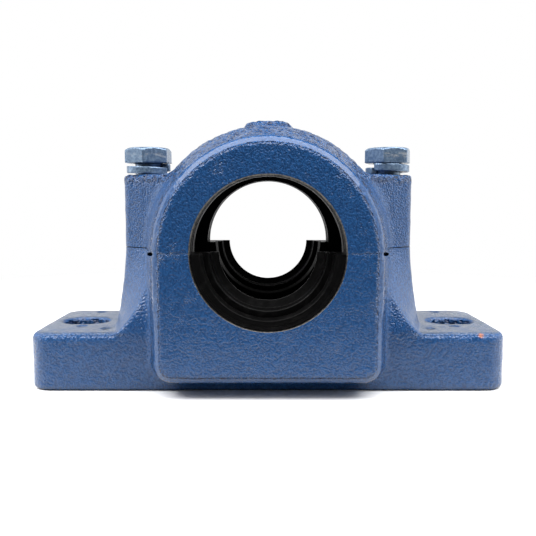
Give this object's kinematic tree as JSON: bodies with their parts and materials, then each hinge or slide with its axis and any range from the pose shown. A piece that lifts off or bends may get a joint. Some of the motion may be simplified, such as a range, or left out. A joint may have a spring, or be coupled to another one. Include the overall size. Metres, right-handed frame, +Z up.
{
  "type": "split pillow block housing",
  "caption": "Split cast iron pillow block housing with slotted feet, bolted cap, cored barrel body and half seals for a horizontal shaft.",
  "frame": {"origin": "bottom centre of the base, on the plane it is bolted down on", "axes": "+Z up, X along the feet, Y along the shaft"},
  "size_m": [0.205, 0.09, 0.116],
  "materials": {
    "casting_enamel": "gloss blue enamel over rough cast skin",
    "fastener_enamel": "thin gloss blue enamel over steel",
    "seal_rubber": "satin black",
    "pin_steel": "ground"
  },
  "bodies": {
    "root": {"housing_base": "casting_enamel", "housing_cap": "casting_enamel", "cap_bolt_left": "fastener_enamel", "cap_bolt_right": "fastener_enamel", "spring_washer_left": "fastener_enamel", "spring_washer_right": "fastener_enamel", "seal_half_front": "seal_rubber", "seal_half_back": "seal_rubber", "locating_pin_left": "pin_steel", "locating_pin_right": "pin_steel"}
  },
  "joints": []
}
